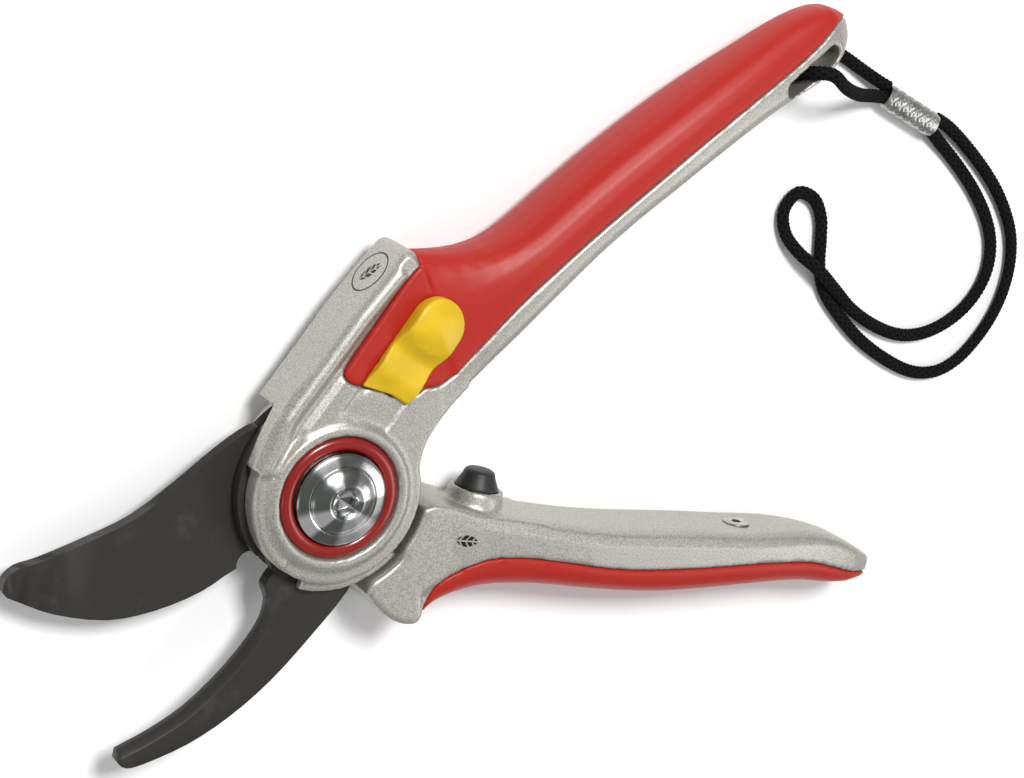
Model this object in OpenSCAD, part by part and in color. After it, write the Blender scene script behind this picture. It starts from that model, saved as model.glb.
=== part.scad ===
// Bypass pruning shears, open and lying on their back.
// +Z runs up the pivot axis. The origin is on that axis, in the plane the shears lie on.
// +X points between the open handles, and the two blades point along -X.
// The counter blade belongs to the upper handle, the cutting blade to the lower one.

/* [Pivot] */
// Radius of the bolt's shank
bolt_r = 5; // [4.2:0.1:5.6]
// Radius of the bolt's round flange
flange_r = 9.9; // [9.2:0.1:10.7]
// Height of the bolt's head above the flange's underside
bolt_head_h = 3.4; // [2.8:0.1:4.5]
// Width across the flats of the hexagon socket
socket_af = 5; // [3:0.5:6]
// Wall of the plain bearing bush
bush_wall = 1; // [0.7:0.1:1.2]
// Radial running clearance of the bolt in the bush
running_gap = 0.05; // [0.02:0.01:0.09]
// Radial width of the cover ring
ring_w = 2.9; // [2.2:0.1:3.2]
// Height of the cover ring
ring_h = 1.7; // [1.3:0.1:2.2]

/* [Hub] */
// Thickness of the lower handle's hub, under the blade
hub_t = 7; // [6:0.1:9]
// Radius of the hub, the blade's heel and the counter blade's heel
hub_r = 20; // [19.6:0.1:20.3]
// Radius of the round part of the upper handle's face plate
plate_r = 18.8; // [18.2:0.1:19.4]
// Thickness of the face plate
plate_t = 5.2; // [4.6:0.1:6]
// Height of the rim and of the ridge above the face plate
rim_h = 0.8; // [0.4:0.1:1.2]
// Height at which the head's side wall starts
head_z = 5.6; // [4:0.1:5.8]

/* [Blades] */
// Thickness of the cutting blade
blade_t = 3; // [2.6:0.1:3.6]
// Thickness of the counter blade
hook_t = 3.6; // [3:0.1:4.4]
// Length of the cutting blade from the pivot to its tip
blade_len = 69; // [55:1:84]
// Length of the counter blade's arm from the pivot to its tip
hook_len = 68.5; // [55:1:84]
// Radius of the wire notch at the blades' heels
notch_r = 3.1; // [2.4:0.1:3.4]

/* [Handles] */
// Thickness of the grips at their seams
grip_t = 2.4; // [2:0.1:3]
// Thickness of the grips over the handles' backs
grip_back = 3.2; // [2.6:0.1:4]
// Depth of both handles along Z
handle_w = 20; // [18:0.5:24]

/* [Lock] */
// Travel of the thumb slider from free to locked
lock_travel = 6.5; // [5:0.1:6.6]
// Width of the thumb slider
slider_w = 11.2; // [9:0.1:11.6]
// Width of the steel pawl
pawl_w = 5.6; // [4:0.1:6]
// Thickness of the steel pawl
pawl_t = 2.6; // [2:0.1:2.7]

/* [Bumper and fasteners] */
// Radius of the rubber bumper at its foot
bumper_r = 4.6; // [4:0.1:5]
// Height of the rubber bumper above its cup
bumper_h = 4.2; // [3:0.1:4.3]
// Radius of the grip screws' shanks
screw_r = 1.5; // [1.2:0.1:1.8]
// Radius of the dowels that hold the counter blade
dowel_r = 1.6; // [1.2:0.1:1.8]
// Radius of the rivets that hold the cutting blade
rivet_r = 2.2; // [1.8:0.1:2.6]

/* [Return spring] */
// Diameter of the spring wire
wire_d = 1.5; // [1.2:0.1:1.5]
// Turns of the spring
spring_turns = 1.5; // [1.2:0.1:1.5]

/* [Lanyard] */
// Diameter of the braided cord
cord_d = 2.6; // [2:0.1:2.8]
// Width of the slot that the cord passes through
lanyard_slot_w = 3.8; // [3.2:0.1:4]
// Length of the crimped ferrule
ferrule_len = 16.4; // [12:0.2:16.4]

/* [Hidden] */
$fn = 96;

// Clearances: snug between pieces fixed to each other, core_gap round a grip's core, and slide_gap
// between pieces that slide
snug = 0.05;
core_gap = 0.12;
slide_gap = 0.15;

// Levels up the pivot axis
z_split = hub_t + blade_t;
z_plate = z_split + hook_t;
z_face = z_plate + plate_t;
z_rim = z_face + rim_h;
handle_z = handle_w / 2;

// Radii around the pivot, from the bolt outwards
bush_r = bolt_r + running_gap + bush_wall;
tube_r = bush_r + 1.3;
spring_r = tube_r + wire_d / 2 + 0.65;
pocket_r = spring_r + wire_d / 2 + 0.5;
pocket_floor = 0.6;
ring_in = max(flange_r, spring_r + wire_d / 2) + 0.2;
ring_out = ring_in + ring_w;
recess_r = ring_out + 0.25;
z_ledge = z_rim - 0.2 - ring_h;
z_washer = z_rim - 1.3;
washer_t = 0.7;
z_flange = z_washer + washer_t + snug;
lip_r = hub_r + 1.4;
lip_t = 2.8;
lip_half = 32;

// The lock slides along a line that passes beside the pivot
lock_dir = 41;
lock_off = 5.3;
pawl_tip = 21.4;
pawl_end = 38.6;
stem_from = 30;
stem_to = 37.6;
stem_w = 4.4;
lobe_s = 40.2;
track_r = recess_r + 2.9;
close_angle = 35;

// Smooth curve through a few points, and other outline helpers
function between(a, b, c, d, t) = 0.5 * (2 * b + (c - a) * t + (2 * a - 5 * b + 4 * c - d) * t * t
    + (3 * b - a - 3 * c + d) * t * t * t);
function smooth(p, n) = [for (i = [0 : len(p) - 2]) for (k = [0 : n - 1])
    between(p[max(i - 1, 0)], p[i], p[i + 1], p[min(i + 2, len(p) - 1)], k / n), p[len(p) - 1]];
function arc(r, a, b, n = 8) = [for (k = [0 : n]) let (t = a + (b - a) * k / n) r * [cos(t), sin(t)]];
function unit(v) = v / norm(v);
function turned(v) = [-v[1], v[0]];
function beside(p, d) = [for (i = [0 : len(p) - 1])
    p[i] + d * turned(unit(p[min(i + 1, len(p) - 1)] - p[max(i - 1, 0)]))];
function around(p, d) = let (n = len(p)) [for (i = [0 : n - 1])
    p[i] - d * turned(unit(p[(i + 1) % n] - p[(i + n - 1) % n]))];
function backwards(p) = [for (i = [len(p) - 1 : -1 : 0]) p[i]];

// Outlines of the head of the upper handle, from its left end over the top, and under the neck
head_top = smooth([[-16.6, 11.6], [-9.2, 21.4], [0.5, 29.3], [10.5, 37.6], [20.5, 44.8], [23.4, 46.6],
                   [25.6, 45.8], [26.2, 43.6]], 4);
head_ridge = [for (i = [0 : 16]) head_top[i]];
wall_top = smooth([[-8.6, 21.9], [0.5, 29.3], [10.5, 37.6], [20.5, 44.8], [23.4, 46.6], [25.6, 45.8],
                   [26.2, 43.6]], 4);
// The head stops just short of the grip's end, and its tab runs on into the handle below the seam
head_tab = [[29.3, 18.2], [29.5, 17.2], [32.6, 17.4]];
neck_low = smooth([[32.6, 14.1], [30, 12.5], [26.8, 10.4], [22.6, 6.9], [20.1, 3.6], [18.6, 0]], 4);

// Stations along each handle: inner edge x, y, outer edge x, y, height of the strip of frame that
// shows, and how far the section stays short of the handle's two flat sides
upper_stations = smooth([
    [30, 12.5, 26.6, 45, 5.1, 5.7, 0.8], [38, 17, 35.1, 42.3, 5.8, 3, 0.5],
    [47, 22, 43, 41.3, 6.1, 1, 0.2], [57, 27.6, 51.2, 42.9, 5.6, 0, 0],
    [67, 33, 60.9, 47.3, 5.1, 0, 0], [77, 37.6, 71.4, 52.1, 5, 0, 0],
    [87, 41.6, 81.3, 56.1, 5.3, 0, 0], [97, 45.6, 91.1, 59.7, 5.5, 0.2, 0.2],
    [107, 49.2, 101, 63.1, 5.8, 1, 0.7], [116, 51.8, 111, 66.2, 6.4, 2.4, 1.6],
    [123, 53.2, 119, 68.6, 7.4, 3.4, 2.6], [129, 55, 126.4, 70, 8.3, 4, 3.4],
    [134, 58.2, 132.3, 69.7, 7.8, 5.4, 4.8],
    [137.2, 61.6, 136.7, 66.8, 4.4, 7.6, 7.6]], 2);
lower_stations = smooth([
    [15.5, -20, 14.1, -33.4, 12.4, 1.6, 2.6], [19, -14, 17.6, -33.1, 13.8, 0.8, 2],
    [24, -12.5, 22.5, -32.7, 13.7, 0.5, 1.6], [32, -15.8, 29, -33.4, 10, 0.3, 1.2],
    [40, -19.6, 35.5, -35.2, 8.4, 0.2, 0.8], [48, -23.6, 43, -38, 7.9, 0, 0.4],
    [57, -28, 51.5, -41.9, 8, 0, 0], [67, -32.2, 61.5, -46.4, 8.4, 0, 0], [77, -36, 72, -50.6, 8.2, 0, 0],
    [87, -39.8, 82.5, -53.8, 7.6, 0, 0], [97, -43.8, 93, -56.7, 6.6, 0, 0],
    [106.2, -46.8, 102.5, -59.3, 6.7, 1.6, 0.4], [113.4, -49.6, 109.6, -61.7, 6.9, 4.3, 1.2],
    [120, -53.6, 115.5, -64.4, 6.9, 6.3, 2.2], [125.6, -58.6, 121.6, -66.8, 5.8, 7, 3.6],
    [129.8, -63, 127.4, -67.9, 3.6, 8, 6]], 2);

// Cutting blade: spine from the tip to the heel, then the edge from the notch back to the tip
blade_scale = blade_len / 69;
blade_spine = smooth([[-69, 0.4], [-68, 2.6], [-65, 4.1], [-60, 4], [-50, 4.8], [-40, 6.2], [-30, 9.9],
                      [-20, 14.3], [-12, 16.8], [-5, 16.5]], 3);
blade_edge = smooth([[-14, -11.6], [-21.5, -11.8], [-30, -14.1], [-40, -14.6], [-50, -13], [-60, -7.9],
                     [-66, -3], [-68.4, -0.9]], 3);
hook_scale = hook_len / 68.5;
hook_inner = smooth([[-13.4, -12.6], [-17.4, -16], [-17.3, -20.2], [-20.2, -25.3], [-28.6, -31.9],
                     [-38.6, -37.2], [-47, -39.6], [-54.6, -40.8]], 3);
hook_outer = smooth([[-55.4, -42.6], [-54, -44.6], [-50, -45.2], [-40, -44.5], [-30, -41.8],
                     [-20, -37.3], [-10, -31], [0, -23.8], [4.5, -17.8]], 3);
notch_at = [-18.4, -12];
bevel_w = 5;

// Lower handle's cheek between the hub, the bumper and the grip's seam
cheek = concat(arc(lip_r + 0.4, -79, -58, 5), arc(hub_r + 0.7, -52, -27, 6),
    smooth([[21, -9.5], [24.4, -10.9], [28, -13.3], [32, -15.9], [40, -19.8], [46, -22.8]], 2),
    backwards(smooth([[14.3, -28.4], [16.2, -27.2], [20.6, -25.3], [25.6, -24.5], [30.6, -24.4],
                      [35.6, -25.5], [40.6, -27.9], [46, -30.8]], 2)),
    [[13.9, -33.2]], smooth([[12.4, -34.2], [9.9, -33.7], [6.4, -30.9], [3.9, -26.9], [2.4, -23.4]], 3));
web = [[0, -18], [19, -7], [22.6, -10], [26.4, -12.4], [31, -15.4], [24, -24], [10, -24]];
cheek_top = 18.4;

// Grip flap that lies in the face plate beside the slider
flap = concat(smooth([[26.9, 42.9], [23.9, 41.7], [15.2, 34.1], [7, 26.8], [6, 25], [6.8, 23.3],
                      [9.6, 21.6]], 3), [[20.6, 16.2]],
              smooth([[22.6, 17.2], [26, 16.6], [30.3, 18.3]], 3));
flap_t = 2;

// Lanyard slot, and the routes of the cord through it, and round the wrist
slot_from = [118.8, 55.2];
slot_to = [130.6, 59.8];
tether_route = [[151.6, 42.2, 3.2], [147.4, 43.9, 4.8], [142.4, 46, 8], [137.6, 48.6, 12],
    [132.8, 51.9, 15.8], [128.2, 56.3, 18.6], [124.7, 57.3, 16.4], [122.8, 56.7, 11.8],
    [122.6, 56.6, 7.4], [124.6, 57.2, 3.6], [128.6, 58, 1.7], [133.4, 58, 1.5], [138, 56.8, 1.5],
    [142.4, 53.9, 1.5], [147, 49.6, 1.8], [150.6, 46.2, 2.5], [153, 44.1, 3.2]];
loop_route = [[165.9, 33.1, 2.6], [170, 29.7, 1.7], [174.6, 24, 1.4], [179.6, 16.4, 1.4],
    [183.6, 8.4, 1.4], [186, -0.4, 1.4], [185.6, -8, 1.4], [183, -15, 1.4], [179, -20.6, 1.4],
    [174, -25, 1.4], [168, -28.4, 1.4], [161.4, -29.4, 1.4], [154.4, -27.2, 1.4], [147.4, -21.8, 1.4],
    [140.8, -14.8, 1.4], [135.6, -7, 1.4], [132, 0.4, 1.4], [131.4, 6.6, 1.4], [132.4, 12.6, 1.4],
    [133, 18, 1.4], [131.6, 23, 1.4], [127.4, 25.6, 1.4], [123.4, 22.6, 1.4], [123, 17.2, 1.6],
    [125.4, 12, 2.8], [129.4, 7, 4.2], [134.2, 0.4, 2.8], [139.4, -6.8, 1.5], [145.8, -13, 1.4],
    [152.6, -17.2, 1.4], [160, -18.6, 1.4], [167.6, -17.4, 1.4], [174, -14, 1.4], [178.4, -8.6, 1.4],
    [180, -2, 1.4], [179, 5, 1.4], [176, 12.6, 1.4], [171.4, 20.6, 1.4], [167.2, 26.6, 1.7],
    [164, 31, 2.6]];
// A deeper handle lifts the part of the tether that lies over its front
tether_low = 3.2;
tether_high = 18.6;
function lifted(p) = let (share = (p[2] - tether_low) / (tether_high - tether_low))
    [p[0], p[1], p[2] + (handle_w - 20) * max(0, share)];
ferrule_from = [152, 42.6];
ferrule_dir = -40.6;
ferrule_z = 2.9;
ferrule_w = 5.8;
ferrule_h = 4.6;

// Solid through rings that have the same number of points, which may run round either way
function sum(v, i = 0) = i == len(v) - 1 ? v[i] : v[i] + sum(v, i + 1);
function facing(r) = sum([for (i = [0 : len(r) - 1]) cross(r[i] - r[0], r[(i + 1) % len(r)] - r[0])]);
module loft(rings, cap = undef) {
    n = len(rings[0]);
    m = len(rings);
    inside_out = facing(rings[0]) * (rings[1][0] - rings[0][0]) < 0;
    ends = is_undef(cap) ? [[for (i = [0 : n - 1]) i]]
        : [for (t = cap) inside_out ? [for (i = [2 : -1 : 0]) n - 1 - t[i]] : t];
    polyhedron(points = [for (r = rings) each inside_out ? backwards(r) : r],
        faces = concat(ends, [for (t = ends) [for (i = [len(t) - 1 : -1 : 0]) (m - 1) * n + t[i]]],
            [for (j = [0 : m - 2]) for (i = [0 : n - 1]) let (a = j * n + i, b = j * n + (i + 1) % n)
                each [[a, a + n, b + n], [a, b + n, b]]]));
}

// Round tube along a route, with its own frame carried from ring to ring
function tangents(p) = [for (i = [0 : len(p) - 1]) unit(p[min(i + 1, len(p) - 1)] - p[max(i - 1, 0)])];
function carried(t, i, v) = i == 0 ? v : let (u = carried(t, i - 1, v)) unit(u - (u * t[i]) * t[i]);
function rings_along(p, r, start, sides = 8) = let (t = tangents(p)) [for (i = [0 : len(p) - 1])
    let (u = carried(t, i, start), v = cross(t[i], u))
    [for (k = [0 : sides - 1]) p[i] + r * (cos(360 * k / sides) * u + sin(360 * k / sides) * v)]];
module tube(p, r, start) loft(rings_along(p, r, start));

// Points of a handle's section, given as [height above the inner edge, place across]
function section_ring(s, pts) = let (a = [s[0], s[1]], d = unit([s[2], s[3]] - a))
    [for (p = pts) [a[0] + d[0] * p[0], a[1] + d[1] * p[0], p[1]]];
function height(s) = norm([s[2] - s[0], s[3] - s[1]]);
function core_top(s) = max(s[4] + 0.3, height(s) - grip_back);
function low(s) = max(0, s[5]);
function high(s) = handle_w - max(0, s[6]);
function frame_points(s) = let (a = low(s), b = high(s), e = min(3, (b - a) / 5),
        g = min(grip_t, (b - a) / 6))
    [[0, a + e], [0.25 * e, a + 0.3 * e], [0.9 * e, a], [s[4], a], [s[4], a + g],
     [core_top(s), a + 1.8 * g], [core_top(s), b - 1.8 * g], [s[4], b - g], [s[4], b],
     [0.9 * e, b], [0.25 * e, b - 0.3 * e], [0, b - e]];
function grip_points(s) = let (a = low(s), b = high(s), g = min(grip_t, (b - a) / 6), m = (a + b) / 2,
        w = (b - a) / 2, u = s[4] + snug, h = height(s) - u)
    concat([for (k = [0 : 12]) let (t = -90 + 15 * k)
            [u + h * pow(cos(t), 0.8), m + w * sign(t) * pow(abs(sin(t)), 0.75)]],
        [[u, b - g + core_gap], [core_top(s) + core_gap, b - 1.8 * g + core_gap],
         [core_top(s) + core_gap, a + 1.8 * g - core_gap], [u, a + g - core_gap]]);

// End faces of a grip's section, whose outer points come first and whose four inner points follow
grip_cap = concat([[12, 13, 11], [13, 14, 11]], [for (k = [11 : -1 : 7]) [14, k - 1, k]], [[14, 15, 6]],
    [for (k = [6 : -1 : 2]) [15, k - 1, k]], [[15, 16, 1], [16, 0, 1]]);

// Puts its children on a handle's inner face, with their Z pointing into the handle
module into_handle(s) {
    d = [s[2] - s[0], s[3] - s[1]];
    translate([s[0], s[1], handle_z]) rotate([0, 0, atan2(d[1], d[0])]) rotate([0, 90, 0]) children();
}
// Puts its children on the lock's slide line
module on_lock() rotate([0, 0, lock_dir]) translate([0, lock_off, 0]) children();
module at_angles(r, angles) for (a = angles) rotate([0, 0, a]) translate([r, 0, 0]) children();
module block(x, y, z) translate([x[0], y[0], z[0]]) cube([x[1] - x[0], y[1] - y[0], z[1] - z[0]]);
module between_z(a, b) translate([0, 0, a]) linear_extrude(b - a) children();

// Slot that the spring's lower leg swings along
module spring_slot() {
    half = wire_d / 2 + 0.4;
    first = spring_at - 6;
    last = spring_at + close_angle + 6;
    polygon(concat(arc(spring_r + half, first, last, 10), arc(spring_r - half, last, first, 10)));
}

spring_at = 100;
upper_screw = upper_stations[14];
lower_screw = lower_stations[20];
screw_head_r = 3;
screw_proud = 0.4;
bumper_at = [34.4, -12.5];
bumper_dir = 67;
dome_r = 7.1;
cup_r = 5.9;
cup_t = 4.2;
dowel_pitch = 16;
dowel_angles = [150, 292];
rivet_pitch = 14.4;
rivet_angles = [240, 330];
pawl_z = hub_t + (blade_t - pawl_t) / 2;
detent_s = 27.2;
detent_r = 1.1;

module lanyard_slot(w) {
    d = slot_to - slot_from;
    translate(slot_from) circle(w / 2);
    translate(slot_to) circle(w / 2);
    translate(slot_from) rotate(atan2(d[1], d[0])) translate([0, -w / 2]) square([norm(d), w]);
}
// Space that the slider sweeps, with a round far end
module slider_path(from, gap) {
    translate([lobe_s, 0]) circle(slider_w / 2 + gap);
    translate([from, -slider_w / 2 - gap]) square([lobe_s - from, slider_w + 2 * gap]);
}
module stem_slot(a, b) block([stem_from - lock_travel - 0.3, stem_to + 0.3],
                             [-stem_w / 2 - slide_gap, stem_w / 2 + slide_gap], [a, b]);
module plate_outline() {
    circle(plate_r);
    polygon(concat(head_top, head_tab, neck_low, [[0, 0]]));
}
module wall_outline() polygon(concat(wall_top, head_tab, neck_low, [[14, 10], [0, 20]]));
module countersunk(r, head_r, len) {
    cylinder(h = len, r = r);
    cylinder(h = head_r - r, r1 = head_r, r2 = r);
}

module screw_hole() {
    countersunk(screw_r + snug, screw_head_r + snug, 40);
    translate([0, 0, -1.5]) cylinder(h = 1.51, r = screw_head_r + snug);
}

module upper_handle_frame() color("silver") difference() {
    union() {
        between_z(z_plate, z_face) plate_outline();
        between_z(z_face - 1, z_rim)
            polygon(concat(beside(head_ridge, -0.5), backwards(beside(head_ridge, -3.6))));
        between_z(z_face - 1, z_rim) circle(recess_r + 2.2);
        between_z(z_plate, z_plate + lip_t)
            polygon(concat(arc(lip_r, -90 - lip_half, -90 + lip_half), [[0, 0]]));
        between_z(head_z, z_plate) wall_outline();
        loft([for (s = upper_stations) section_ring(s, frame_points(s))]);
    }
    // Room for the lower hub and the blade, the counter blade's seat, and the pivot
    between_z(-1, z_split + snug) circle(hub_r + 2.6);
    between_z(z_split, z_plate) circle(hub_r + 0.15);
    between_z(-1, z_rim + 1) circle(bush_r);
    between_z(z_plate + pocket_floor, z_rim + 1) difference() {
        circle(pocket_r);
        circle(tube_r);
    }
    between_z(z_ledge, z_rim + 1) difference() {
        circle(recess_r);
        circle(tube_r);
    }
    between_z(z_washer, z_rim + 1) circle(recess_r);
    between_z(z_plate - 1, z_plate + 2) spring_slot();
    rotate([0, 0, spring_at + 360 * spring_turns])
        block([bush_r + 0.2, spring_r], [-1.2, 1.2], [z_washer - 2.4, z_rim]);
    at_angles(dowel_pitch, dowel_angles) between_z(z_plate - 1, z_plate + 3.6) circle(dowel_r);
    // Pocket for the grip's flap, and the slider's track, stem slot and pawl channel
    between_z(z_face - flap_t - snug, z_rim + 1) polygon(around(flap, snug));
    on_lock() {
        difference() {
            between_z(z_face - 0.5, z_rim + 1) slider_path(14, slide_gap);
            translate([0, -lock_off, z_face - 1]) cylinder(h = rim_h + 3, r = track_r);
        }
        stem_slot(pawl_z, z_rim);
        block([10, pawl_end + 0.5], [-pawl_w / 2 - slide_gap, pawl_w / 2 + slide_gap],
              [pawl_z - 0.1, pawl_z + pawl_t + 0.2]);
        block([detent_s - lock_travel - 1, detent_s + 1], [3.2, 5], [z_face - 1, z_rim]);
    }
    into_handle(upper_screw) screw_hole();
    between_z(-1, handle_w + 1) lanyard_slot(lanyard_slot_w);
}

module upper_grip() color("firebrick") difference() {
    union() {
        loft([for (s = upper_stations) section_ring(s, grip_points(s))], grip_cap);
        between_z(z_face - flap_t, z_face + 0.05) polygon(flap);
    }
    on_lock() between_z(z_face - 0.5, handle_w + 3) slider_path(pawl_tip - lock_travel + 0.6, slide_gap);
    on_lock() stem_slot(z_face - flap_t - 1, z_rim + 2);
    on_lock() block([detent_s - lock_travel - 1, detent_s + 1], [3.2, 5], [z_face - 1, z_rim]);
    into_handle(upper_screw) cylinder(h = height(upper_screw) - 1.4, r = screw_r + snug);
}

module grip_screw(s) color("dimgray") into_handle(s) difference() {
    union() {
        countersunk(screw_r, screw_head_r, height(s) - 1.6);
        translate([0, 0, -screw_proud]) cylinder(h = screw_proud, r = screw_head_r);
    }
    translate([0, 0, -1]) cylinder(h = 2.1, r = 1.2, $fn = 6);
}
module upper_grip_screw() grip_screw(upper_screw);
module lower_grip_screw() grip_screw(lower_screw);

// Wedge that bevels an edge: nothing is left at z_far, and the full thickness is left 'width' inside
module edge_cut(edge, z_near, z_far, width) {
    outer = beside(edge, -0.5);
    inner = beside(edge, width);
    loft([for (i = [0 : len(edge) - 1])
        [[each outer[i], z_near], [each outer[i], z_far], [each inner[i], z_far]]]);
}
module counter_blade() color("darkslategray") difference() {
    between_z(z_split + snug / 2, z_plate - snug / 2) difference() {
        union() {
            circle(hub_r);
            polygon(concat(hook_inner * hook_scale, hook_outer * hook_scale));
        }
        translate(notch_at) circle(notch_r);
        circle(bush_r + snug / 2);
        spring_slot();
        at_angles(dowel_pitch, dowel_angles) circle(dowel_r + snug / 2);
    }
    // The front of the inner edge is chamfered back
    edge_cut([for (i = [5 : len(hook_inner) - 1]) hook_inner[i] * hook_scale],
             z_split + 1.2, z_plate + 0.6, 1.9);
}
module counter_blade_dowels() color("gray") at_angles(dowel_pitch, dowel_angles)
    between_z(z_split + 0.2, z_plate + 3.4) circle(dowel_r - snug / 2);

module pivot_bush() color("goldenrod") between_z(z_split + snug, z_washer) difference() {
    circle(bush_r - snug / 2);
    circle(bolt_r + running_gap);
}
module thrust_washer() color("gray") between_z(z_washer, z_washer + washer_t) difference() {
    circle(tube_r - 0.1);
    circle(bolt_r + 0.2);
}
module cover_ring() color("firebrick") rotate_extrude() {
    m = (ring_in + ring_out) / 2;
    w = ring_w / 2;
    polygon(concat([[ring_out - 0.3, z_ledge + snug], [ring_out, z_ledge + 0.4]],
        [for (k = [0 : 8]) let (t = 22.5 * k) [m + w * cos(t), z_rim - 0.2 - w * 0.75 + w * 0.75 * sin(t)]],
        [[ring_in, z_ledge + 0.4], [ring_in + 0.3, z_ledge + snug]]));
}

// Torsion spring: a leg down into the blade, the coil, and a leg inwards into the plate's tube
coil_z = z_plate + pocket_floor + 0.1 + wire_d / 2;
coil_rise = z_washer - 0.1 - wire_d / 2 - coil_z;
coil = concat([for (z = [z_split - 2.2, z_split + 1, z_plate - 0.6, coil_z - 0.7]) [spring_r, 0, z]],
    [for (k = [1 : 40]) let (t = k / 40, a = 360 * spring_turns * t)
        [spring_r * cos(a), spring_r * sin(a), coil_z + coil_rise * t]],
    [for (d = [0.6, 1.3, 2]) let (a = 360 * spring_turns + 6 - d)
        [(spring_r - d) * cos(a), (spring_r - d) * sin(a), coil_z + coil_rise]]);
module return_spring() color("lightsteelblue") rotate([0, 0, spring_at]) tube(coil, wire_d / 2, [1, 0, 0]);

module lock_slider() color("gold") on_lock() difference() {
    union() {
        // Base plate with a slanted front edge, ramp, thumb rest and stem
        between_z(z_face - 0.4, z_face + 1.2) intersection() {
            slider_path(15, 0);
            polygon([[21.4, slider_w], [21.4, slider_w / 2], [24.6, -slider_w / 2], [24.6, -slider_w],
                     [50, -slider_w], [50, slider_w]]);
        }
        intersection() {
            between_z(z_face, z_face + 6) slider_path(21.4, 0);
            rotate([90, 0, 0]) translate([0, 0, -slider_w]) linear_extrude(2 * slider_w)
                polygon(concat([[23, z_face]], smooth([[24, z_face + 1.6], [28, z_face + 2.3],
                    [31.5, z_face + 2], [34.5, z_face + 2.8], [37.5, z_face + 3.9], [42, z_face + 4],
                    [46, z_face + 3]], 3), [[46, z_face]]));
        }
        block([stem_from, stem_to], [-stem_w / 2, stem_w / 2], [pawl_z + pawl_t + snug, z_face]);
    }
    translate([(stem_from + stem_to) / 2, 0, pawl_z]) cylinder(h = 7, r = 1.3);
    translate([detent_s, 4.1, z_face - 1]) cylinder(h = 2.6, r = detent_r + 0.1);
}
module lock_pawl() color("gray") on_lock() difference() {
    block([pawl_tip, pawl_end], [-pawl_w / 2, pawl_w / 2], [pawl_z, pawl_z + pawl_t]);
    translate([(stem_from + stem_to) / 2, 0, pawl_z - 0.01]) countersunk(1.3, 2.4, 5);
}
module lock_screw() color("dimgray") on_lock() translate([(stem_from + stem_to) / 2, 0, pawl_z + 0.05])
    difference() {
        countersunk(1.25, 2.3, 6.6);
        translate([0, 0, -0.1]) cylinder(h = 0.9, r = 0.8, $fn = 6);
    }
module detent_ball() color("silver") on_lock() translate([detent_s, 4.1, z_face + 0.15]) sphere(detent_r);
module detent_spring() color("lightsteelblue") on_lock() translate([detent_s, 4.1, z_face + 1.2])
    tube([for (k = [0 : 20]) [0.8 * cos(36 * k), 0.8 * sin(36 * k), 0.15 + 0.005 * k]], 0.12, [1, 0, 0]);

module lower_handle_frame() color("silver") difference() {
    union() {
        between_z(0, hub_t) circle(hub_r);
        between_z(0.3, hub_t) polygon(web);
        difference() {
            between_z(0.3, cheek_top) polygon(cheek);
            between_z(hub_t, cheek_top + 1) circle(hub_r + 0.6);
        }
        loft([for (s = lower_stations) section_ring(s, frame_points(s))]);
        // Cup for the bumper, sunk into the inner face
        translate([bumper_at[0], bumper_at[1], handle_z]) rotate([0, 0, bumper_dir]) rotate([0, 90, 0])
            translate([0, 0, -cup_t - 4]) cylinder(h = cup_t + 4, r1 = cup_r + 1.2, r2 = cup_r);
    }
    // The hub's back slopes away under the blade's spine
    rotate([0, 0, 135]) translate([hub_r - hub_t, -25, 0]) rotate([0, -45, 0])
        translate([-5, 0, -30]) cube([40, 50, 30]);
    between_z(-1, hub_t + 1) circle(bolt_r + 0.1);
    between_z(-1, 4) circle(9.2);
    at_angles(rivet_pitch, rivet_angles) translate([0, 0, -0.01])
        countersunk(rivet_r + snug / 2, rivet_r + 1.4, hub_t + 1);
    translate([bumper_at[0], bumper_at[1], handle_z]) rotate([0, 0, bumper_dir]) rotate([0, 90, 0]) {
        translate([0, 0, -1.6]) cylinder(h = 3, r = bumper_r + snug);
        translate([0, 0, -6.2]) cylinder(h = 6, r = 2.4);
    }
    into_handle(lower_screw) screw_hole();
}
module lower_grip() color("firebrick") difference() {
    loft([for (s = lower_stations) section_ring(s, grip_points(s))], grip_cap);
    into_handle(lower_screw) cylinder(h = height(lower_screw) - 1.4, r = screw_r + snug);
}

module cutting_blade() color("darkslategray") difference() {
    union() {
        between_z(hub_t + snug / 2, z_split - snug / 2) circle(hub_r);
        between_z(hub_t + snug / 2, z_split - snug / 2)
            polygon(concat(blade_spine * blade_scale, blade_edge * blade_scale));
    }
    between_z(hub_t - 1, z_split + 1) {
        translate(notch_at) circle(notch_r);
        circle(bolt_r + 0.1);
        at_angles(rivet_pitch, rivet_angles) circle(rivet_r + snug / 2);
        at_angles(spring_r, [spring_at]) circle(wire_d / 2 + 0.2);
        // Two seats for the pawl: one holds the shears open, the other shut
        for (a = [0, -close_angle]) rotate(a + lock_dir)
            translate([pawl_tip - lock_travel - 0.5, lock_off - pawl_w / 2 - 0.3])
                square([12, pawl_w + 0.6]);
    }
    // The edge is ground from the back
    edge_cut([for (i = [4 : len(blade_edge) - 2]) blade_edge[i] * blade_scale],
             z_split - 0.4, hub_t - 0.6, bevel_w);
}
module blade_rivets() color("gray") at_angles(rivet_pitch, rivet_angles)
    countersunk(rivet_r, rivet_r + 1.3, z_split - snug);

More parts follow.
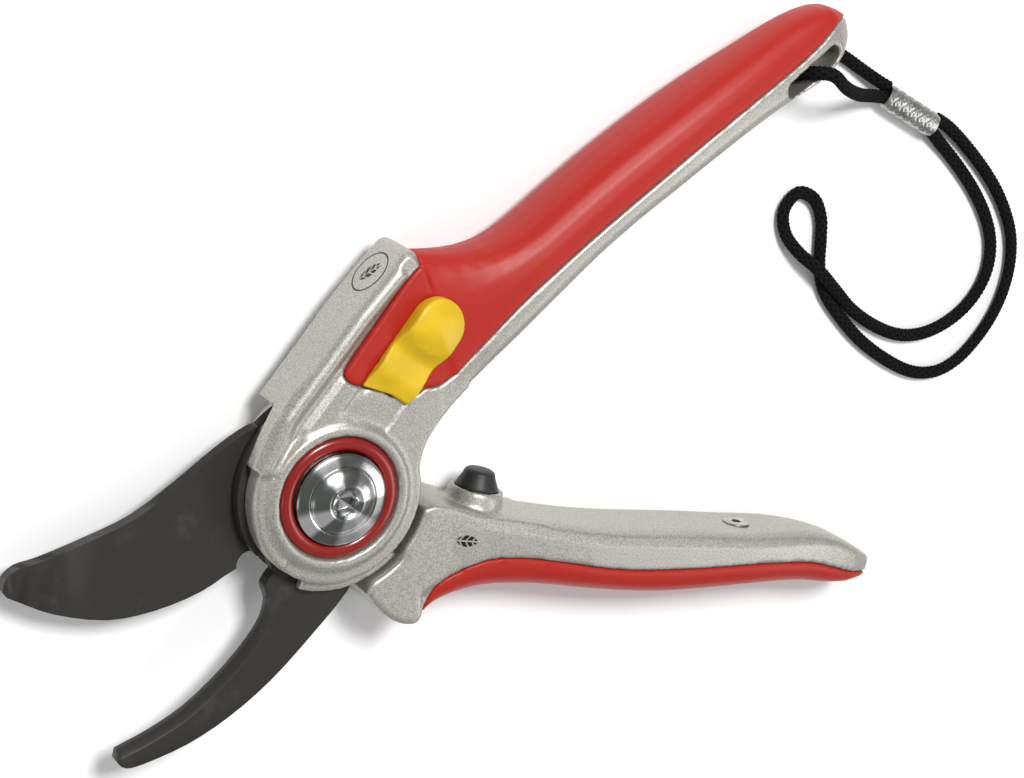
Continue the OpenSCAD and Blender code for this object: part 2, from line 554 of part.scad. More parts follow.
module pivot_bolt() color("lightgray") difference() {
    top = z_flange + bolt_head_h;
    rotate_extrude() polygon([[0, 1], [bolt_r - 0.4, 1], [bolt_r, 1.4], [bolt_r, z_flange],
        [flange_r, z_flange], [flange_r, z_flange + 0.8], [flange_r - 0.5, z_flange + 1.2],
        [dome_r + 0.4, z_flange + 1.7], [dome_r, z_flange + 1.5], [dome_r - 0.3, z_flange + 2.1],
        [dome_r - 1.2, z_flange + 2.7], [4, top], [0, top]]);
    between_z(top - 3.6, top + 1) circle(socket_af / 2 / cos(30), $fn = 6);
    translate([0, 0, top - 0.7]) cylinder(h = 0.71, r1 = socket_af / 2, r2 = 3.5);
}
module pivot_nut() color("gray") difference() {
    between_z(0, 3.2) circle(7.6 / cos(30), $fn = 6);
    between_z(0.9, 4) circle(bolt_r + 0.02);
}
module lock_washer() color("dimgray") between_z(3.2 + snug, 4) difference() {
    circle(8.6);
    circle(bolt_r + 0.3);
}
module bumper() color([0.1, 0.1, 0.1]) translate([bumper_at[0], bumper_at[1], handle_z])
    rotate([0, 0, bumper_dir]) rotate([0, 90, 0]) rotate_extrude() {
        top_r = bumper_r - 1.1;
        polygon(concat([[0, -6], [2.3, -6], [2.3, -1.55], [bumper_r, -1.55], [bumper_r, 0.4]],
            [for (k = [0 : 5]) let (t = 18 * k) [top_r - 1.2 + 1.2 * cos(t), bumper_h - 1.5 + 1.2 * sin(t)]],
            [[0, bumper_h]]));
    }

module lanyard_tether() color([0.08, 0.08, 0.08])
    tube(smooth([for (p = tether_route) lifted(p)], 2), cord_d / 2, [0, 0, 1]);
module lanyard_loop() color([0.08, 0.08, 0.08]) tube(smooth(loop_route, 2), cord_d / 2, [0, 0, 1]);
module lanyard_ferrule() color("silver") translate([ferrule_from[0], ferrule_from[1], ferrule_z])
    rotate([0, 0, ferrule_dir]) rotate([0, 90, 0]) linear_extrude(ferrule_len) {
        side = (ferrule_w - ferrule_h) / 2;
        for (y = [-side, side]) translate([0, y]) circle(ferrule_h / 2);
        square([ferrule_h, 2 * side], center = true);
    }

upper_handle_frame();
upper_grip();
upper_grip_screw();
counter_blade();
counter_blade_dowels();
pivot_bush();
thrust_washer();
cover_ring();
return_spring();
lock_slider();
lock_pawl();
lock_screw();
detent_ball();
detent_spring();
lower_handle_frame();
lower_grip();
lower_grip_screw();
cutting_blade();
blade_rivets();
pivot_bolt();
pivot_nut();
lock_washer();
bumper();
lanyard_tether();
lanyard_loop();
lanyard_ferrule();
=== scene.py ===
"""Looks of a pair of bypass pruning shears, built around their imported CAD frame."""

import math

import bmesh
import bpy
from mathutils import Matrix, Vector


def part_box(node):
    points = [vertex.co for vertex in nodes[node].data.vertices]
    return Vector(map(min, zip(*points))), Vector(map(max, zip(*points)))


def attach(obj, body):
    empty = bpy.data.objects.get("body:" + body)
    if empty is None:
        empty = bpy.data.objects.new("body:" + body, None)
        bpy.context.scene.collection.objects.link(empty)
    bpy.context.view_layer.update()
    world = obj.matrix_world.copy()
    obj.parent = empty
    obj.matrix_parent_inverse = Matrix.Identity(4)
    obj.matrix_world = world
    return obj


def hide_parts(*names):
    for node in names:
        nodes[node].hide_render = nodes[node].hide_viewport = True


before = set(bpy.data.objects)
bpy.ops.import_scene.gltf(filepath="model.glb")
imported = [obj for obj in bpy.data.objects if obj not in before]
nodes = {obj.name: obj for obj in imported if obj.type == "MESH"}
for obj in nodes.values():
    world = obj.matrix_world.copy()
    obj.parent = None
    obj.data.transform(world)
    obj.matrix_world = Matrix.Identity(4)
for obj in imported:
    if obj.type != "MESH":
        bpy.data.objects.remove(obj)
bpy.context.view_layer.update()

MM = 0.001
DEG = math.pi / 180


# ---------------------------------------------------------------- camera

def look(location, aim, top, lens):
    """A camera at location that looks at aim, with top pointing up in its view"""
    back = (Vector(location) - Vector(aim)).normalized()
    right = Vector(top).cross(back).normalized()
    turn = Matrix((right, back.cross(right), back)).transposed()
    camera = bpy.data.objects.new("camera", bpy.data.cameras.new("camera"))
    camera.matrix_world = Matrix.Translation(Vector(location)) @ turn.to_4x4()
    camera.data.lens = lens
    camera.data.clip_start = 0.01
    bpy.context.collection.objects.link(camera)
    bpy.context.scene.camera = camera


look(location=(-0.1577, 0.2130, 0.4436), aim=(0.0460, 0.0065, 0.0100),
     top=(0.298, 0.909, -0.2925), lens=86.4)


# ---------------------------------------------------------------- meshes

def finished(name, mesh, body, material, replaces=()):
    """An object at the origin that rides on a CAD body and stands for CAD nodes"""
    mesh.materials.clear()
    mesh.materials.append(material)
    piece = bpy.data.objects.new(name, mesh)
    bpy.context.collection.objects.link(piece)
    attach(piece, body)
    if replaces:
        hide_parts(*replaces)
    return piece


def baked(bm, name):
    """The bmesh as a smoothly shaded mesh"""
    for face in bm.faces:
        face.smooth = True
    mesh = bpy.data.meshes.new(name)
    bm.to_mesh(mesh)
    bm.free()
    return mesh


def mesh_from(bm, name):
    """The bmesh as a mesh without double points and with its faces turned outwards"""
    bmesh.ops.remove_doubles(bm, verts=bm.verts, dist=1e-7)
    bmesh.ops.recalc_face_normals(bm, faces=bm.faces)
    return baked(bm, name)


def with_modifiers(name, mesh, settings):
    """The mesh after a chain of modifiers, given as (type, {setting: value})"""
    holder = bpy.data.objects.new(name, mesh)
    bpy.context.collection.objects.link(holder)
    for kind, values in settings:
        modifier = holder.modifiers.new(kind.lower(), kind)
        for key, value in values.items():
            setattr(modifier, key, value)
    depsgraph = bpy.context.evaluated_depsgraph_get()
    result = bpy.data.meshes.new_from_object(holder.evaluated_get(depsgraph), depsgraph=depsgraph)
    bpy.data.objects.remove(holder)
    return result


def cad_copy(node):
    """A merged bmesh copy of a CAD node"""
    bm = bmesh.new()
    bm.from_mesh(nodes[node].data)
    bmesh.ops.remove_doubles(bm, verts=bm.verts, dist=1e-6)
    return bm


def melted(name, mesh, voxel, soften, keep):
    """A mesh rebuilt from cubes of voxel mm, softened, with a share of its faces kept"""
    result = with_modifiers(name, mesh, [
        ("REMESH", {"mode": "VOXEL", "voxel_size": voxel * MM, "use_smooth_shade": True}),
        ("SMOOTH", {"factor": 0.5, "iterations": soften}),
        ("DECIMATE", {"ratio": keep}),
    ])
    for polygon in result.polygons:
        polygon.use_smooth = True
    return result


def cast(node, sculpt=None, voxel=0.5, soften=6):
    """A CAD node melted into one casting with softly rounded edges, sculpted on the way"""
    bm = cad_copy(node)
    mesh = bpy.data.meshes.new(node + "_rough")
    bm.to_mesh(mesh)
    bm.free()
    if sculpt:
        mesh = sculpt(melted(node + "_blank", mesh, voxel, 1, 1.0))
    return melted(node + "_cast", mesh, voxel, soften, 0.6)


def bevelled(node, width, segments=2, angle=25):
    """A CAD node with its sharp edges broken"""
    bm = cad_copy(node)
    bmesh.ops.dissolve_limit(bm, angle_limit=0.6 * DEG, verts=bm.verts, edges=bm.edges)
    mesh = bpy.data.meshes.new(node + "_sharp")
    bm.to_mesh(mesh)
    bm.free()
    result = with_modifiers(node + "_broken", mesh, [
        ("BEVEL", {"width": width * MM, "segments": segments, "limit_method": "ANGLE",
                   "angle_limit": angle * DEG, "use_clamp_overlap": True}),
        ("TRIANGULATE", {}),
    ])
    return crisp(result, 32)


def crisp(mesh, angle):
    """Smooth shading that breaks at edges sharper than the angle"""
    for polygon in mesh.polygons:
        polygon.use_smooth = True
    mesh.set_sharp_from_angle(angle=angle * DEG)
    return mesh


def turned(profile, steps):
    """A solid of revolution about +Z from (radius, height) points in millimetres"""
    bm = bmesh.new()
    rail = [bm.verts.new((r * MM, 0, z * MM)) for r, z in profile]
    edges = [bm.edges.new(pair) for pair in zip(rail, rail[1:])]
    bmesh.ops.spin(bm, geom=rail + edges, cent=(0, 0, 0), axis=(0, 0, 1), angle=2 * math.pi,
                   steps=steps, use_merge=True)
    return bm


# ---------------------------------------------------------------- shaders

class Value:
    """A shader socket that builds Math nodes from Python operators"""

    def __init__(self, maker, socket):
        self.maker = maker
        self.socket = socket

    def call(self, operation, *others):
        """A Math node fed with this value and the others"""
        return self.maker.node("ShaderNodeMath", {"operation": operation}, [self, *others])[0]

    def __add__(self, other):
        return self.call("ADD", other)

    def __sub__(self, other):
        return self.call("SUBTRACT", other)

    def __mul__(self, other):
        return self.call("MULTIPLY", other)

    def __rsub__(self, other):
        return self.maker.node("ShaderNodeMath", {"operation": "SUBTRACT"}, [other, self])[0]

    __radd__ = __add__
    __rmul__ = __mul__

    def step(self, low, high):
        """0 below low, 1 above high, smooth between"""
        return self.maker.node("ShaderNodeMapRange", {"interpolation_type": "SMOOTHSTEP"},
                               [self, low, high])[0]


class Finish:
    """A material under construction, with its Principled shader"""

    def __init__(self, name, color, roughness, metallic=0.0, coat=0.0, specular=0.5):
        self.material = bpy.data.materials.new(name)
        self.material.use_nodes = True
        self.tree = self.material.node_tree
        self.shader = self.tree.nodes["Principled BSDF"]
        inputs = self.shader.inputs
        inputs["Base Color"].default_value = (*color, 1)
        inputs["Roughness"].default_value = roughness
        inputs["Metallic"].default_value = metallic
        inputs["Coat Weight"].default_value = coat
        inputs["Coat Roughness"].default_value = 0.1
        inputs["Specular IOR Level"].default_value = specular

    def node(self, kind, settings=None, inputs=()):
        """Adds a node, sets it, feeds its inputs and returns its outputs as values"""
        made = self.tree.nodes.new(kind)
        for key, value in (settings or {}).items():
            setattr(made, key, value)
        pairs = inputs.items() if isinstance(inputs, dict) else enumerate(inputs)
        for key, value in pairs:
            if isinstance(value, Value):
                self.tree.links.new(value.socket, made.inputs[key])
            else:
                made.inputs[key].default_value = value
        return [Value(self, output) for output in made.outputs]

    def feed(self, name, value):
        """Links a value to an input of the Principled shader"""
        self.tree.links.new(value.socket, self.shader.inputs[name])

    def place(self):
        """Object coordinates, which are the frame's own in metres"""
        return self.node("ShaderNodeTexCoord")[3]

    def noise(self, scale, detail, roughness=0.5):
        return self.node("ShaderNodeTexNoise", {}, {
            "Vector": self.place(), "Scale": scale, "Detail": detail, "Roughness": roughness})[0]

    def mix(self, factor, first, second):
        """Colour between first and second"""
        made = self.tree.nodes.new("ShaderNodeMix")
        made.data_type = "RGBA"
        for socket, value in zip((made.inputs[0], made.inputs[6], made.inputs[7]),
                                 (factor, first, second)):
            if isinstance(value, Value):
                self.tree.links.new(value.socket, socket)
            else:
                socket.default_value = (*value, 1)
        return Value(self, made.outputs[2])

    def bump(self, height, distance, strength):
        """Bumps the surface by a height value, over a distance in millimetres"""
        self.feed("Normal", self.node("ShaderNodeBump", {}, {
            "Strength": strength, "Distance": distance * MM, "Height": height})[0])


def leaf_mark(across, up, size):
    """1 on a plain leaf about twice the size long, in millimetres, with a midrib and veins"""
    radius = 1.15 * size
    offset = 0.72 * size
    inside, outside = radius - 0.08, radius + 0.08
    upper = ((across * across) + (up - offset) * (up - offset)).call("SQRT")
    lower = ((across * across) + (up + offset) * (up + offset)).call("SQRT")
    blade = (1 - upper.step(inside, outside)) * (1 - lower.step(inside, outside))
    rib = up.call("ABSOLUTE").step(0.12, 0.22)
    veins = ((across - up.call("ABSOLUTE") * 0.8) * 4.2).call("SINE").step(-0.9, -0.5)
    return blade * rib * veins


def silver_paint(name, mark):
    """Fine granular aluminium paint over a casting, with a mark printed on it"""
    paint = Finish(name, (0.60, 0.59, 0.56), roughness=0.4, metallic=0.75)
    grain = paint.noise(4200, detail=2)
    cloud = paint.noise(2800, detail=2)
    speck = grain * 0.65 + cloud * 0.35
    color = paint.mix(speck.step(0.38, 0.62), (0.33, 0.32, 0.29), (0.56, 0.545, 0.505))
    x, y, z = paint.node("ShaderNodeSeparateXYZ", {}, [paint.place()])[:3]
    printed = mark(x * 1000, y * 1000, z * 1000)
    color = paint.mix(printed, color, (0.02, 0.02, 0.02))
    paint.feed("Base Color", color)
    paint.feed("Roughness", 0.3 + grain * 0.3)
    paint.bump(speck, 0.03, 0.5)
    return paint.material


BADGE_X, BADGE_Y, BADGE_Z = 17.6, 42.4, 12.4
WALL_COS, WALL_SIN = 0.83, 0.557
LEAF_COS, LEAF_SIN = 0.85, 0.52
BADGE_RADIUS = 4.7


def head_badge(x, y, z):
    """A leaf in a ring on the head's side wall, all in millimetres"""
    along = (x - BADGE_X) * WALL_COS + (y - BADGE_Y) * WALL_SIN
    depth = (y - BADGE_Y) * WALL_COS - (x - BADGE_X) * WALL_SIN
    up = z - BADGE_Z
    reach = (along * along + up * up).call("SQRT")
    ring = (reach - BADGE_RADIUS).call("ABSOLUTE").step(0.12, 0.24)
    near = depth.call("ABSOLUTE").step(3.0, 2.4)
    tilted = along * LEAF_COS + up * LEAF_SIN
    raised = up * LEAF_COS - along * LEAF_SIN
    return near * ((1 - ring).call("MAXIMUM", leaf_mark(tilted, raised, 3.4)))


MARK_COS, MARK_SIN = 0.92, 0.39


def handle_mark(x, y, z):
    """A small leaf printed on the lower handle's front, all in millimetres"""
    right, above = x - 26.5, y + 19.6
    along = right * MARK_COS - above * MARK_SIN
    up = right * MARK_SIN + above * MARK_COS
    return leaf_mark(along, up, 3.0) * z.step(16.5, 17.0)


def soft_red():
    """Satin soft plastic"""
    red = Finish("soft_red", (0.40, 0.015, 0.008), roughness=0.45, specular=0.35)
    grain = red.noise(2600, detail=2)
    red.feed("Roughness", 0.38 + grain * 0.12)
    red.bump(grain, 0.012, 0.4)
    return red.material


def coated_blade():
    """Dark non-stick coating with faint wear"""
    coating = Finish("coated_blade", (0.030, 0.028, 0.025), roughness=0.5, specular=0.3)
    grain = coating.noise(1500, detail=3)
    wear = coating.noise(90, detail=6, roughness=0.65)
    coating.feed("Base Color", coating.mix(wear.step(0.55, 0.8), (0.027, 0.025, 0.022),
                                           (0.055, 0.053, 0.048)))
    coating.feed("Roughness", 0.40 + grain * 0.14)
    coating.bump(grain, 0.01, 0.4)
    return coating.material


def moulded(name, color, depth, grain=1800, **settings):
    """A moulded or dipped surface: faintly clouded, with a fine texture"""
    skin = Finish(name, color, **settings)
    cloud = skin.noise(140, detail=3)
    fine = skin.noise(grain, detail=2)
    darker = tuple(0.88 * part for part in color)
    skin.feed("Base Color", skin.mix(cloud.step(0.35, 0.65), darker, color))
    skin.feed("Roughness", settings["roughness"] - 0.05 + fine * 0.1)
    skin.bump(fine, depth, 0.5)
    return skin.material


def worked_metal(name, color, **settings):
    """Plain metal with the fine scratches and stains of a tool that has been handled"""
    metal = Finish(name, color, metallic=1.0, **settings)
    stain = metal.noise(300, detail=5, roughness=0.6)
    scratch = metal.noise(4500, detail=2)
    darker = tuple(0.7 * part for part in color)
    metal.feed("Base Color", metal.mix(stain.step(0.4, 0.65), darker, color))
    metal.feed("Roughness", settings["roughness"] - 0.08 + stain * 0.2)
    metal.bump(scratch, 0.004, 0.5)
    return metal.material


def zinc_painted_reflection():
    """Bright turned plating with fine rings, and a painted reflection: lighter and darker in a fan
    about the axis
    """
    zinc = Finish("zinc_painted_reflection", (0.66, 0.67, 0.66), roughness=0.2, metallic=1.0)
    x, y, _ = zinc.node("ShaderNodeSeparateXYZ", {}, [zinc.place()])[:3]
    radius = (x * x + y * y).call("SQRT")
    turning = y.call("ARCTAN2", x)
    rings = (radius * 21000).call("SINE")
    # painted reflection: a fan of light and dark sectors about the axis, as a turned face mirrors
    # the lamps
    broad_reflection = (turning * 4 + 0.6).call("SINE")
    narrow_reflection = (turning * 7 + 2.0).call("SINE")
    painted_reflection_fan = (broad_reflection + narrow_reflection * 0.6).step(-0.5, 0.9)
    zinc.feed("Base Color", zinc.mix(painted_reflection_fan, (0.20, 0.21, 0.20), (0.86, 0.87, 0.86)))
    zinc.feed("Roughness", 0.16 + zinc.noise(500, detail=4) * 0.12)
    zinc.bump(rings, 0.002, 0.5)
    return zinc.material


UPPER_PAINT = silver_paint("silver_paint", head_badge)
LOWER_PAINT = silver_paint("silver_paint_lower", handle_mark)
RED = soft_red()
BLADE = coated_blade()
ZINC = zinc_painted_reflection()
STEEL = worked_metal("plated_steel", (0.55, 0.55, 0.54), roughness=0.3)
DARK_STEEL = worked_metal("blackened_steel", (0.10, 0.10, 0.10), roughness=0.35)
BRONZE = worked_metal("bearing_bronze", (0.55, 0.33, 0.13), roughness=0.35)
SLEEVE = worked_metal("crimped_zinc", (0.50, 0.50, 0.48), roughness=0.3)
RING_RED = moulded("glossy_red", (0.25, 0.009, 0.006), depth=0.003,
                   roughness=0.25, specular=0.4, coat=0.3)
YELLOW = moulded("smooth_yellow", (0.70, 0.465, 0.010), depth=0.005,
                 roughness=0.35, specular=0.4)
RUBBER = moulded("black_rubber", (0.012, 0.012, 0.012), grain=900, depth=0.02, roughness=0.5)


# ---------------------------------------------------------------- castings and grips

HEAD_TOP = 19.7        # the flat top, and the ridge's crest
HEAD_EDGE = [Vector(p) for p in [
    (-17.4, -8.6), (-18.8, -3), (-18.6, 3.4), (-16.9, 10.6), (-9.2, 21.4), (0.5, 29.3),
    (10.5, 37.6), (20.5, 44.8), (23.4, 46.6), (25.6, 45.8), (26.2, 43.6)]]
RIDGE = 2.7            # width of the rounded ridge along that edge
RIDGE_DROP = 3.0       # from its crest to the edge
SLOPE = 2.4            # width of the step down from the ridge
VALLEY = 2.8           # width of the valley's floor
VALLEY_DEPTH = 1.8
VALLEY_RISE = 3.6      # width of the rise to the flat top
END_SHARE = 0.86       # where along the edge the valley fades out
END_DEPTH = 0.9        # how far the top lies below the ridge beyond that
HUB_RADIUS = 15.4      # the round hub, which keeps its own shape
NECK_TOP = 18.75       # where the neck levels out beside the hub


def ease(value):
    """0 below 0, 1 above 1, smooth between"""
    value = min(1.0, max(0.0, value))
    return value * value * (3 - 2 * value)


def from_line(place, line):
    """Distance from a place to a line of points, and the share of the line passed by then"""
    best = (1e9, 0.0)
    for i, (a, b) in enumerate(zip(line, line[1:])):
        part = b - a
        share = min(1.0, max(0.0, (place - a).dot(part) / part.length_squared))
        gap = (a + part * share - place).length
        if gap < best[0]:
            best = (gap, (i + share) / (len(line) - 1))
    return best


def head_top(x, y):
    """Height of the head's sculpted top over a place, in millimetres"""
    gap, share = from_line(Vector((x, y)), HEAD_EDGE)
    fade = 1 - ease((share - END_SHARE) * 8)
    if gap < RIDGE:
        lean = 1 - gap / RIDGE
        return HEAD_TOP - RIDGE_DROP * (1 - math.sqrt(max(0.0, 1 - lean * lean)))
    down = ease((gap - RIDGE) / SLOPE)
    valley = down * (1 - ease((gap - RIDGE - VALLEY) / VALLEY_RISE))
    return HEAD_TOP - fade * VALLEY_DEPTH * valley - END_DEPTH * down * (1 - fade)


def sculpt_head(mesh):
    """Presses the head's top down to its sculpted height, and levels the neck beside the hub"""
    for vert in mesh.vertices:
        x, y, z = vert.co / MM
        reach = math.hypot(x, y)
        if 26 < x < 42 and y < 26 and z > NECK_TOP:
            vert.co.z = (NECK_TOP + (z - NECK_TOP) * ease((x - 28) / 12)) * MM
        if z < 15 or x > 30 or reach < HUB_RADIUS or x > 12 and y < 24:
            continue
        top = head_top(x, y)
        blend = ease((reach - HUB_RADIUS) / 1.2)
        if z > top:
            vert.co.z = (top * blend + z * (1 - blend)) * MM
    return mesh


finished("upper_casting", cast("upper_handle_frame", sculpt_head, voxel=0.4, soften=9),
         "upper_handle", UPPER_PAINT, ["upper_handle_frame"])
finished("lower_casting", cast("lower_handle_frame"), "lower_handle", LOWER_PAINT,
         ["lower_handle_frame"])
finished("upper_grip_skin", cast("upper_grip"), "upper_handle", RED, ["upper_grip"])
finished("lower_grip_skin", cast("lower_grip"), "lower_handle", RED, ["lower_grip"])

# ---------------------------------------------------------------- blades and pivot

finished("cutting_edge", bevelled("cutting_blade", 0.25), "lower_handle", BLADE,
         ["cutting_blade"])
finished("counter_hook", bevelled("counter_blade", 0.3), "upper_handle", BLADE,
         ["counter_blade"])


SLIDE_TURN = 41 * DEG  # direction of the slide line, seen from above
SLIDE_OFFSET = 5.3     # distance of that line from the pivot
THUMB_BASE = 18.8      # height from which the slider's top rises


def sculpt_thumb(mesh):
    """Hollows the slider's ramp and rounds its thumb rest, along and across its slide line"""
    cos, sin = math.cos(SLIDE_TURN), math.sin(SLIDE_TURN)
    for vert in mesh.vertices:
        x, y, z = vert.co / MM
        along = x * cos + y * sin
        across = y * cos - x * sin - SLIDE_OFFSET
        if z < 19.2:
            continue
        rise = 0.7 + 1.2 * ease((along - 22) / 5) - 0.7 * ease((along - 27) / 4.5)
        rise += 2.9 * ease((along - 31.5) / 5.5) - 0.03 * max(0.0, along - 38) ** 2
        rise -= 0.022 * across * across * ease((along - 30) / 6)
        top = THUMB_BASE + rise
        if z > top:
            vert.co.z = top * MM
    return mesh


finished("lock_thumb", cast("lock_slider", sculpt_thumb, voxel=0.25, soften=8),
         "lock", YELLOW, ["lock_slider"])

RING_MID, RING_HALF = 11.55, 1.45
RING_FOOT, RING_SIDE, RING_TOP = 17.85, 18.3, 19.4
RING_ROUND = 1.02      # height of its rounded top


def ring_band():
    """A flat-sided ring with a rounded top"""
    inner, outer = RING_MID - RING_HALF, RING_MID + RING_HALF
    profile = [(inner, RING_FOOT), (inner, RING_SIDE)]
    profile += [(RING_MID - RING_HALF * math.cos(a * DEG),
                 RING_TOP - RING_ROUND + RING_ROUND * math.sin(a * DEG)) for a in range(0, 181, 12)]
    profile += [(outer, RING_SIDE), (outer, RING_FOOT), (inner, RING_FOOT)]
    return crisp(mesh_from(turned(profile, 128), "ring_band"), 40)


finished("ring_band", ring_band(), "upper_handle", RING_RED, ["cover_ring"])
finished("bolt_head", bevelled("pivot_bolt", 0.12, 2, 14), "lower_handle", ZINC,
         ["pivot_bolt"])
finished("rubber_stop", bevelled("bumper", 0.3, 3, 20), "lower_handle", RUBBER,
         ["bumper"])


def squared(value):
    """A cosine or sine pushed outwards, for a section between an oval and a box"""
    return math.copysign(abs(value) ** 0.9, value)


def crimped_ferrule():
    """An oval sleeve with an embossed diagonal weave, its mouths rolled in"""
    length, width, height = 16.4 * MM, 5.8 * MM, 4.6 * MM
    ridges_round, ridges_along = 6, 38
    emboss, roll = 0.05, 0.05
    heading = (90 - 40.6) * DEG
    bm = bmesh.new()
    bmesh.ops.create_cone(bm, cap_ends=True, segments=72, radius1=1, radius2=1, depth=length)
    sides = [e for e in bm.edges if abs(e.verts[0].co.z - e.verts[1].co.z) > length / 2]
    bmesh.ops.subdivide_edges(bm, edges=sides, cuts=110, use_grid_fill=True)
    for vert in bm.verts:
        angle = math.atan2(vert.co.y, vert.co.x)
        run = vert.co.z / length + 0.5
        turns = angle * ridges_round
        weave = max(math.sin(turns + ridges_along * run), math.sin(turns - ridges_along * run))
        mouth = min(1.0, min(run, 1 - run) * 14)
        reach = 0.94 + emboss * mouth * (1 - weave * weave) - roll * (1 - mouth)
        vert.co.x = reach * width / 2 * squared(math.cos(angle))
        vert.co.y = reach * height / 2 * squared(math.sin(angle))
    for turn, axis in ((math.pi / 2, "X"), (heading, "Z")):
        bmesh.ops.rotate(bm, verts=bm.verts, cent=(0, 0, 0), matrix=Matrix.Rotation(turn, 3, axis))
    low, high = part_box("lanyard_ferrule")
    bmesh.ops.translate(bm, verts=bm.verts, vec=(low + high) / 2)
    return crisp(mesh_from(bm, "ferrule"), 50)


finished("ferrule_sleeve", crimped_ferrule(), "upper_handle", SLEEVE,
         ["lanyard_ferrule"])

for name, material in {
        "upper_grip_screw": DARK_STEEL, "lower_grip_screw": STEEL, "counter_blade_dowels": STEEL,
        "pivot_bush": BRONZE, "thrust_washer": STEEL, "return_spring": STEEL,
        "lock_pawl": STEEL, "lock_screw": DARK_STEEL, "detent_ball": STEEL, "detent_spring": STEEL,
        "blade_rivets": STEEL, "pivot_nut": STEEL, "lock_washer": DARK_STEEL}.items():
    nodes[name].data.materials.clear()
    nodes[name].data.materials.append(material)

# ---------------------------------------------------------------- lanyard


def smooth_line(points):
    """Points on a smooth curve through the given ones, four for each stretch"""
    parts = 4
    line = []
    for i in range(len(points) - 1):
        a, b = points[max(i - 1, 0)], points[i]
        c, d = points[i + 1], points[min(i + 2, len(points) - 1)]
        for k in range(parts):
            t = k / parts
            line.append(0.5 * (2 * b + (c - a) * t + (2 * a - 5 * b + 4 * c - d) * t * t
                               + (3 * b - a - 3 * c + d) * t ** 3))
    return line + [points[-1]]


TETHER = [Vector(p) * MM for p in [
    (151.6, 42.2, 3.2), (147.4, 43.9, 4.8), (142.4, 46, 8), (137.6, 48.6, 12),
    (132.8, 51.9, 15.8), (128.2, 56.3, 18.6), (124.7, 57.3, 16.4), (122.8, 56.7, 11.8),
    (122.6, 56.6, 7.4), (124.6, 57.2, 3.6), (128.6, 58, 1.7), (133.4, 58, 1.5),
    (138, 56.8, 1.5), (142.4, 53.9, 1.5), (147, 49.6, 1.8), (150.6, 46.2, 2.5),
    (153, 44.1, 3.2)]]
LOOP = [Vector(p) * MM for p in [
    (165.9, 33.1, 2.6), (170, 29.7, 1.7), (174.6, 24, 1.4), (179.6, 16.4, 1.4),
    (183.6, 8.4, 1.4), (186, -0.4, 1.4), (185.6, -8, 1.4), (183, -15, 1.4), (179, -20.6, 1.4),
    (174, -25, 1.4), (168, -28.4, 1.4), (161.4, -29.4, 1.4), (154.4, -27.2, 1.4),
    (147.4, -21.8, 1.4), (140.8, -14.8, 1.4), (135.6, -7, 1.4), (132, 0.4, 1.4),
    (131.4, 6.6, 1.4), (132.4, 12.6, 1.4), (133, 18, 1.4), (131.6, 23, 1.4),
    (127.4, 25.6, 1.4), (123.4, 22.6, 1.4), (123, 17.2, 1.6), (125.4, 12, 2.8),
    (129.4, 7, 4.2), (134.2, 0.4, 2.8), (139.4, -6.8, 1.5), (145.8, -13, 1.4),
    (152.6, -17.2, 1.4), (160, -18.6, 1.4), (167.6, -17.4, 1.4), (174, -14, 1.4),
    (178.4, -8.6, 1.4), (180, -2, 1.4), (179, 5, 1.4), (176, 12.6, 1.4), (171.4, 20.6, 1.4),
    (167.2, 26.6, 1.7), (164, 31, 2.6)]]
CORD_D = 2.6 * MM
CORD_WIDE, CORD_THICK = 1.22, 0.84  # its flattened section, as shares of that
CORD_SIDES = 16
BRAID_PITCH = 1.1 * MM
BRAID_STRANDS = 4
SWELL = 0.05           # how far its rings shrink between crossings


def length_of(line):
    """The summed distance between the points of a line"""
    return sum((b - a).length for a, b in zip(line, line[1:]))


def braid_material():
    """Black braid, its strands slanting both ways along the cord"""
    braid = Finish("black_braid", (0.010, 0.010, 0.010), roughness=0.85, specular=0.12)
    place = braid.node("ShaderNodeUVMap", {"uv_map": "braid"})[0]
    u, v, _ = braid.node("ShaderNodeSeparateXYZ", {}, [place])
    one = ((u * 6 + v) * (2 * math.pi)).call("SINE")
    other = ((u * 6 - v) * (2 * math.pi)).call("SINE")
    weave = one.call("MAXIMUM", other)
    braid.feed("Base Color", braid.mix(weave.step(-0.2, 1.0), (0.001, 0.001, 0.001),
                                       (0.007, 0.007, 0.007)))
    braid.bump(weave, 0.12, 0.8)
    return braid.material


BRAID = braid_material()


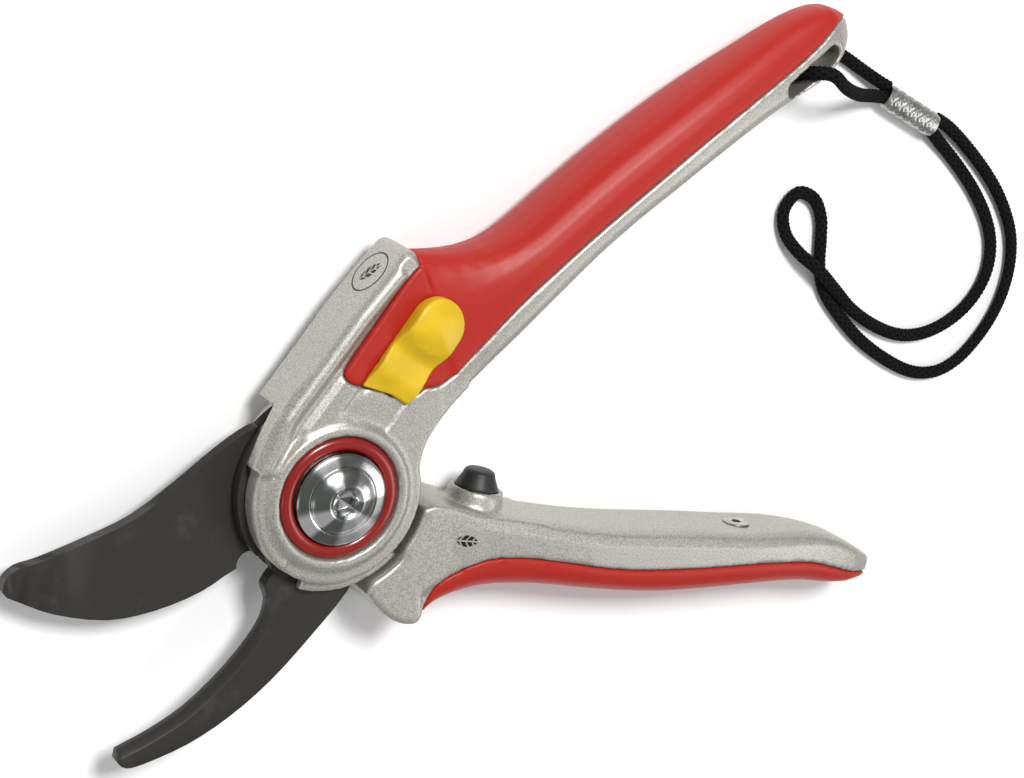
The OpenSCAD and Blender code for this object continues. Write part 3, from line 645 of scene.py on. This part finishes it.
def cord_mesh(name, line):
    """A flattened braided cord along a line: its rings swell where the strands cross"""
    total = length_of(line)
    rings = int(total / (BRAID_PITCH / 6))
    places, run, k = [], 0.0, 0
    for i in range(rings + 1):
        want = total * i / rings
        while k < len(line) - 2 and run + (line[k + 1] - line[k]).length < want:
            run += (line[k + 1] - line[k]).length
            k += 1
        part = line[k + 1] - line[k]
        places.append(line[k] + part * min(1.0, (want - run) / part.length))
    bm = bmesh.new()
    uv = bm.loops.layers.uv.new("braid")
    side = None
    rows = []
    for i, at in enumerate(places):
        ahead = (places[min(i + 1, rings)] - places[max(i - 1, 0)]).normalized()
        if side is None:
            side = ahead.cross(Vector((0, 0, 1))).normalized()
        side = (side - ahead * side.dot(ahead)).normalized()
        up = ahead.cross(side)
        row = []
        for j in range(CORD_SIDES):
            angle = 2 * math.pi * j / CORD_SIDES
            phase = 2 * math.pi * total * i / rings / BRAID_PITCH + BRAID_STRANDS * angle
            swell = 1 - SWELL + SWELL * math.cos(phase)
            way = side * (CORD_WIDE * math.cos(angle)) + up * (CORD_THICK * math.sin(angle))
            row.append(bm.verts.new(at + way * (CORD_D / 2 * swell)))
        rows.append(row)
    for i in range(rings):
        for j in range(CORD_SIDES):
            beside = (j + 1) % CORD_SIDES
            face = bm.faces.new((rows[i][j], rows[i][beside], rows[i + 1][beside], rows[i + 1][j]))
            for loop, (a, b) in zip(face.loops, ((0, 0), (0, 1), (1, 1), (1, 0))):
                loop[uv].uv = ((j + b) / CORD_SIDES,
                               total * (i + a) / rings / (2 * BRAID_PITCH))
    bm.faces.new(reversed(rows[0]))
    bm.faces.new(rows[-1])
    bmesh.ops.recalc_face_normals(bm, faces=bm.faces)
    return baked(bm, name)


for name, node, route in (("tether_braid", "lanyard_tether", TETHER),
                          ("wrist_braid", "lanyard_loop", LOOP)):
    line = smooth_line(route)
    piece = finished(name, cord_mesh(name, line), "upper_handle", BRAID, [node])
    round(length_of(line), 4)


# ---------------------------------------------------------------- floor and light

floor_mesh = bpy.data.meshes.new("floor")
bm = bmesh.new()
bmesh.ops.create_grid(bm, x_segments=1, y_segments=1, size=4)
bm.to_mesh(floor_mesh)
bm.free()
floor = bpy.data.objects.new("floor", floor_mesh)
floor.location.z = -0.0002
pale_floor = Finish("pale_floor", (0.97, 0.97, 0.97), roughness=0.9, specular=0.1)
floor_mesh.materials.append(pale_floor.material)
bpy.context.collection.objects.link(floor)


def area_light(name, location, aim, size, power):
    """A rectangular lamp that shines at aim, its size in metres and its power in watts"""
    light = bpy.data.lights.new(name, "AREA")
    light.shape = "RECTANGLE"
    light.size, light.size_y = size
    light.energy = power
    lamp = bpy.data.objects.new(name, light)
    lamp.location = location
    lamp.rotation_euler = (Vector(aim) - Vector(location)).to_track_quat("-Z", "Y").to_euler()
    bpy.context.collection.objects.link(lamp)


area_light("key", (0.15, 0.60, 1.0), (0.05, 0, 0), (0.30, 0.30), 12)
area_light("fill", (0.8, -0.5, 0.8), (0.05, 0, 0), (0.6, 0.6), 3)
area_light("left", (-0.9, -0.1, 0.35), (0, 0, 0), (0.25, 0.6), 1)
world = bpy.data.worlds.new("studio")
bpy.context.scene.world = world
world.use_nodes = True
world.node_tree.nodes["Background"].inputs[0].default_value = (1, 1, 1, 1)
world.node_tree.nodes["Background"].inputs[1].default_value = 0.34
bpy.context.scene.view_settings.view_transform = "Standard"
